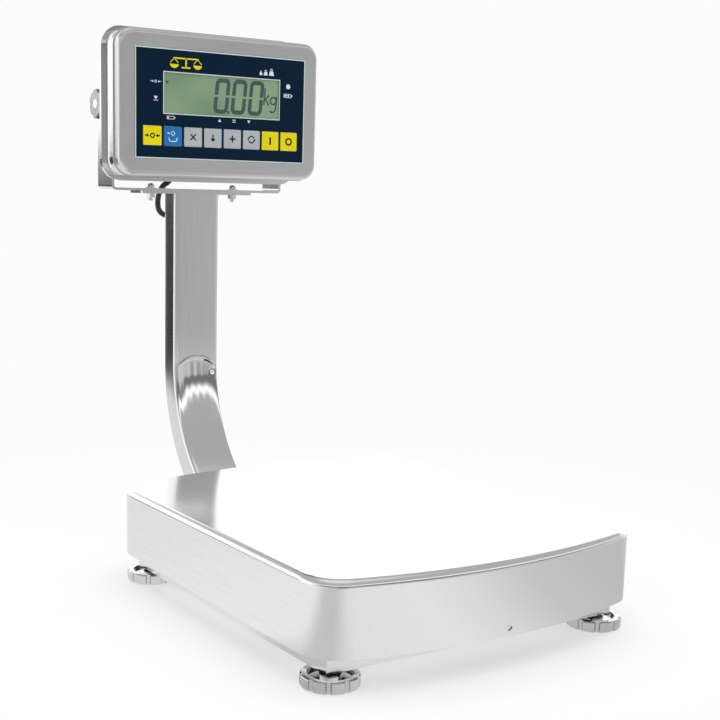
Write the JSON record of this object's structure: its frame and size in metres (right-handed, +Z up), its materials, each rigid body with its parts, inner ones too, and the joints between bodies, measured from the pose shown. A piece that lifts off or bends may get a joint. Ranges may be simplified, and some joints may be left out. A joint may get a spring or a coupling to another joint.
{
  "type": "bench scale",
  "caption": "Stainless bench scale: bowed rectangular platform on screw feet, swept rear column and a tilting indicator in a yoke with a display and a row of keys.",
  "frame": {"origin": "bottom centre of the whole scale's bounding box, on the surface it stands on", "axes": "+Z up, +Y from the platform's front to the column, +X to the right of a person facing the display"},
  "size_m": [0.3, 0.527, 0.481],
  "materials": {
    "polished_steel": "polished stainless sheet",
    "brushed_steel": "fine linear brushed stainless",
    "cast_aluminium": "sandblasted",
    "black_rubber": "matte",
    "bright_fasteners": "bright turned stainless",
    "chrome_wheels": "polished",
    "grey_knobs": "satin",
    "dark_plastic": "fine texture",
    "navy_panel": "satin printed film",
    "yellow_keys": "satin printed film",
    "blue_key": "satin printed film",
    "grey_keys": "satin printed film",
    "clear_window": "clear gloss",
    "lcd_glass": "grey-green reflective display",
    "circuit_board": "solder mask",
    "gland_plastic": "moulded nylon",
    "cable_jacket": "smooth PVC jacket"
  },
  "bodies": {
    "base": {"base_frame": "brushed_steel", "foot_bushes": "bright_fasteners", "cell_spacer_lower": "bright_fasteners", "load_cell": "cast_aluminium", "cell_bolts_lower": "bright_fasteners", "overload_stops": "bright_fasteners", "column": "polished_steel", "column_clamp": "brushed_steel", "column_clamp_bolts": "bright_fasteners", "column_clamp_nuts": "bright_fasteners", "column_top_plate": "brushed_steel", "yoke": "brushed_steel", "yoke_bolts": "bright_fasteners", "yoke_washers": "bright_fasteners", "yoke_nuts": "bright_fasteners", "yoke_discs": "dark_plastic", "column_grommet": "black_rubber", "indicator_lead": "cable_jacket", "column_lead": "cable_jacket"},
    "load_receiver": {"load_receiver": "cast_aluminium", "platform_cushions": "black_rubber", "cell_spacer_upper": "bright_fasteners", "cell_bolts_upper": "bright_fasteners"},
    "pan": {"pan": "polished_steel"},
    "indicator": {"front_cover": "brushed_steel", "cover_gasket": "black_rubber", "rear_shell": "brushed_steel", "side_bosses": "brushed_steel", "cover_screws": "bright_fasteners", "cover_pillars": "brushed_steel", "membrane_panel": "navy_panel", "display_window": "clear_window", "lcd_module": "lcd_glass", "display_board": "circuit_board", "display_screws": "bright_fasteners", "main_board": "circuit_board", "main_board_posts": "bright_fasteners", "battery_pack": "dark_plastic", "cable_gland": "gland_plastic", "gland_nut": "gland_plastic"},
    "knob_left": {"knob_left": "grey_knobs", "clamp_screw_left": "bright_fasteners"},
    "knob_right": {"knob_right": "grey_knobs", "clamp_screw_right": "bright_fasteners"},
    "key_zero": {"key_zero": "yellow_keys"},
    "key_tare": {"key_tare": "blue_key"},
    "key_clear": {"key_clear": "grey_keys"},
    "key_recall": {"key_recall": "grey_keys"},
    "key_add": {"key_add": "grey_keys"},
    "key_mode": {"key_mode": "grey_keys"},
    "key_on": {"key_on": "yellow_keys"},
    "key_off": {"key_off": "yellow_keys"},
    "foot_pad_fl": {"foot_pad_fl": "black_rubber"},
    "foot_wheel_fl": {"foot_wheel_fl": "chrome_wheels"},
    "foot_pad_fr": {"foot_pad_fr": "black_rubber"},
    "foot_wheel_fr": {"foot_wheel_fr": "chrome_wheels"},
    "foot_pad_rl": {"foot_pad_rl": "black_rubber"},
    "foot_wheel_rl": {"foot_wheel_rl": "chrome_wheels"},
    "foot_pad_rr": {"foot_pad_rr": "black_rubber"},
    "foot_wheel_rr": {"foot_wheel_rr": "chrome_wheels"}
  },
  "joints": [
    {"name": "weighing_travel", "type": "slide", "parent": "base", "child": "load_receiver", "axis": [0, 0, -1], "range_m": [0, 0.0005], "stiffness_N_per_m": 150000, "springref_m": -0.00024, "deforming": ["load_cell"]},
    {"name": "pan_lift", "type": "slide", "parent": "load_receiver", "child": "pan", "axis": [0, 0, 1], "range_m": [0, 0.08]},
    {"name": "indicator_tilt", "type": "hinge", "parent": "base", "child": "indicator", "pos_m": [0, 0.2335, 0.411], "axis": [1, 0, 0], "range_deg": [-30, 0], "deforming": ["indicator_lead"]},
    {"name": "knob_left_turn", "type": "hinge", "parent": "indicator", "child": "knob_left", "pos_m": [-0.0937, 0.2335, 0.411], "axis": [1, 0, 0], "range_deg": [-360, 0]},
    {"name": "knob_right_turn", "type": "hinge", "parent": "indicator", "child": "knob_right", "pos_m": [0.0937, 0.2335, 0.411], "axis": [1, 0, 0], "range_deg": [0, 360]},
    {"name": "key_zero_press", "type": "slide", "parent": "indicator", "child": "key_zero", "axis": [0, 1, 0], "range_m": [0, 0.0004], "stiffness_N_per_m": 4000, "springref_m": -0.0002},
    {"name": "key_tare_press", "type": "slide", "parent": "indicator", "child": "key_tare", "axis": [0, 1, 0], "range_m": [0, 0.0004], "stiffness_N_per_m": 4000, "springref_m": -0.0002},
    {"name": "key_clear_press", "type": "slide", "parent": "indicator", "child": "key_clear", "axis": [0, 1, 0], "range_m": [0, 0.0004], "stiffness_N_per_m": 4000, "springref_m": -0.0002},
    {"name": "key_recall_press", "type": "slide", "parent": "indicator", "child": "key_recall", "axis": [0, 1, 0], "range_m": [0, 0.0004], "stiffness_N_per_m": 4000, "springref_m": -0.0002},
    {"name": "key_add_press", "type": "slide", "parent": "indicator", "child": "key_add", "axis": [0, 1, 0], "range_m": [0, 0.0004], "stiffness_N_per_m": 4000, "springref_m": -0.0002},
    {"name": "key_mode_press", "type": "slide", "parent": "indicator", "child": "key_mode", "axis": [0, 1, 0], "range_m": [0, 0.0004], "stiffness_N_per_m": 4000, "springref_m": -0.0002},
    {"name": "key_on_press", "type": "slide", "parent": "indicator", "child": "key_on", "axis": [0, 1, 0], "range_m": [0, 0.0004], "stiffness_N_per_m": 4000, "springref_m": -0.0002},
    {"name": "key_off_press", "type": "slide", "parent": "indicator", "child": "key_off", "axis": [0, 1, 0], "range_m": [0, 0.0004], "stiffness_N_per_m": 4000, "springref_m": -0.0002},
    {"name": "foot_fl_slide", "type": "slide", "parent": "base", "child": "foot_pad_fl", "axis": [0, 0, -1], "range_m": [0, 0.0063]},
    {"name": "foot_fl_turn", "type": "hinge", "parent": "foot_pad_fl", "child": "foot_wheel_fl", "pos_m": [-0.126, -0.222, 0], "axis": [0, 0, -1], "range_deg": [0, 1800]},
    {"name": "foot_fr_slide", "type": "slide", "parent": "base", "child": "foot_pad_fr", "axis": [0, 0, -1], "range_m": [0, 0.0063]},
    {"name": "foot_fr_turn", "type": "hinge", "parent": "foot_pad_fr", "child": "foot_wheel_fr", "pos_m": [0.126, -0.222, 0], "axis": [0, 0, -1], "range_deg": [0, 1800]},
    {"name": "foot_rl_slide", "type": "slide", "parent": "base", "child": "foot_pad_rl", "axis": [0, 0, -1], "range_m": [0, 0.0063]},
    {"name": "foot_rl_turn", "type": "hinge", "parent": "foot_pad_rl", "child": "foot_wheel_rl", "pos_m": [-0.126, 0.059, 0], "axis": [0, 0, -1], "range_deg": [0, 1800]},
    {"name": "foot_rr_slide", "type": "slide", "parent": "base", "child": "foot_pad_rr", "axis": [0, 0, -1], "range_m": [0, 0.0063]},
    {"name": "foot_rr_turn", "type": "hinge", "parent": "foot_pad_rr", "child": "foot_wheel_rr", "pos_m": [0.126, 0.059, 0], "axis": [0, 0, -1], "range_deg": [0, 1800]}
  ],
  "couplings": [
    {"joint": "foot_fl_slide", "follows": "foot_fl_turn", "m_per_rad": 0.00019894},
    {"joint": "foot_fr_slide", "follows": "foot_fr_turn", "m_per_rad": 0.00019894},
    {"joint": "foot_rl_slide", "follows": "foot_rl_turn", "m_per_rad": 0.00019894},
    {"joint": "foot_rr_slide", "follows": "foot_rr_turn", "m_per_rad": 0.00019894}
  ]
}
